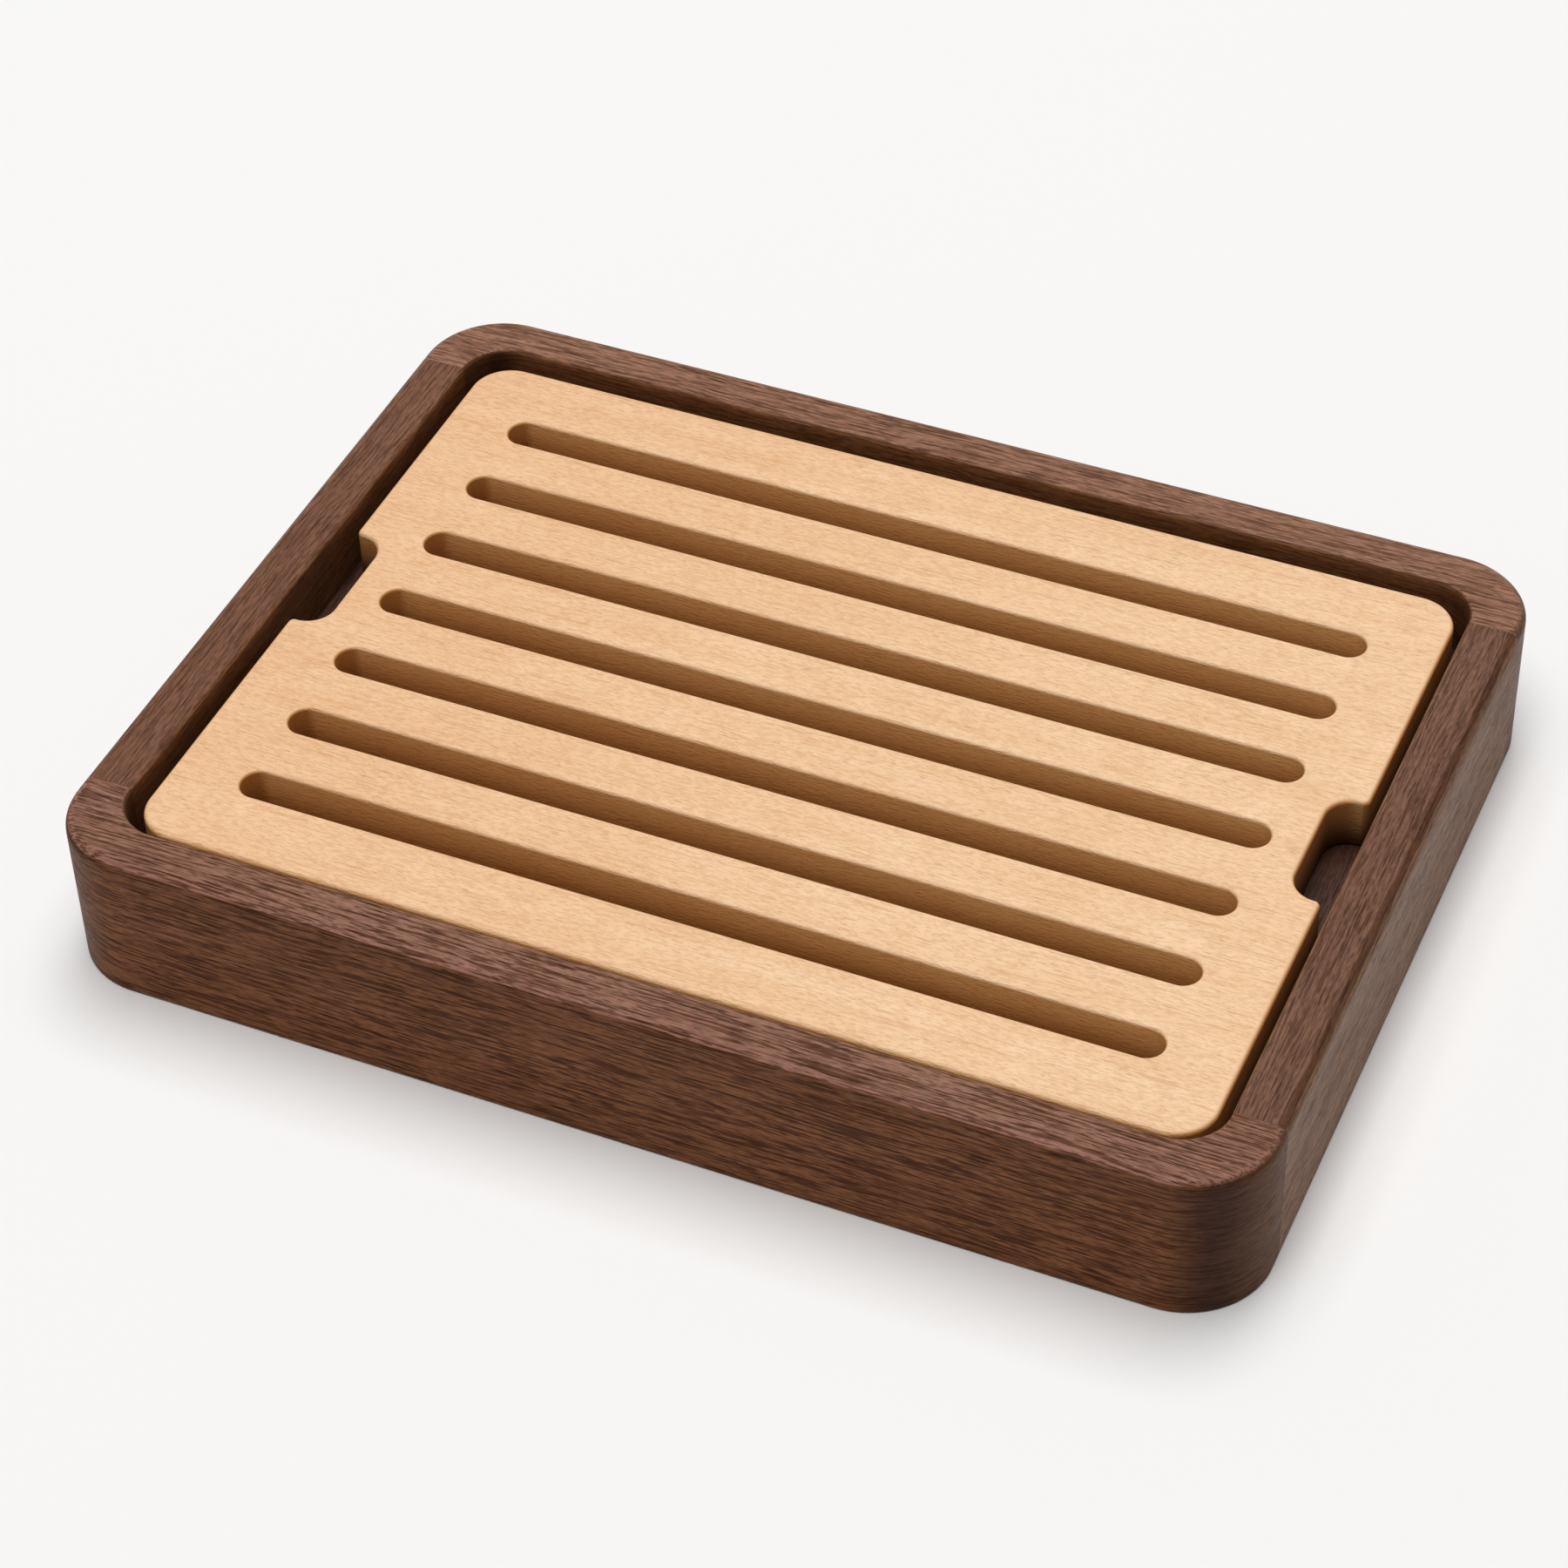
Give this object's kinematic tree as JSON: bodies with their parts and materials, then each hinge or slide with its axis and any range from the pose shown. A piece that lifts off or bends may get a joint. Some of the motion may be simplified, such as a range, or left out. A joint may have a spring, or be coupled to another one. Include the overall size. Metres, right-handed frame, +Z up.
{
  "type": "bread board with crumb catcher",
  "caption": "Dark wooden tray with rounded corners that carries a pale lift-out board with long slots, so that bread crumbs fall through into the tray; finger notches help to lift the board.",
  "frame": {"origin": "under the middle of the tray, on the surface that it stands on", "axes": "+X along the long side, +Y to the back, +Z up; the front of the tray faces -Y"},
  "size_m": [0.4, 0.3, 0.056],
  "materials": {
    "walnut_rails": "oiled satin",
    "walnut_ledges": "oiled satin",
    "walnut_floor": "oiled satin",
    "maple_board": "oiled matte",
    "beech_dowels": "bare"
  },
  "bodies": {
    "tray": {"front_rail": "walnut_rails", "back_rail": "walnut_rails", "left_rail": "walnut_rails", "right_rail": "walnut_rails", "front_ledge": "walnut_ledges", "back_ledge": "walnut_ledges", "left_ledge": "walnut_ledges", "right_ledge": "walnut_ledges", "base_panel": "walnut_floor", "dowel_front_left_lower": "beech_dowels", "dowel_front_left_upper": "beech_dowels", "dowel_front_right_lower": "beech_dowels", "dowel_front_right_upper": "beech_dowels", "dowel_back_left_lower": "beech_dowels", "dowel_back_left_upper": "beech_dowels", "dowel_back_right_lower": "beech_dowels", "dowel_back_right_upper": "beech_dowels"},
    "grid": {"slotted_grid": "maple_board"}
  },
  "joints": [
    {"name": "grid_lift", "type": "slide", "parent": "tray", "child": "grid", "axis": [0, 0, 1], "range_m": [0, 0.06]}
  ]
}
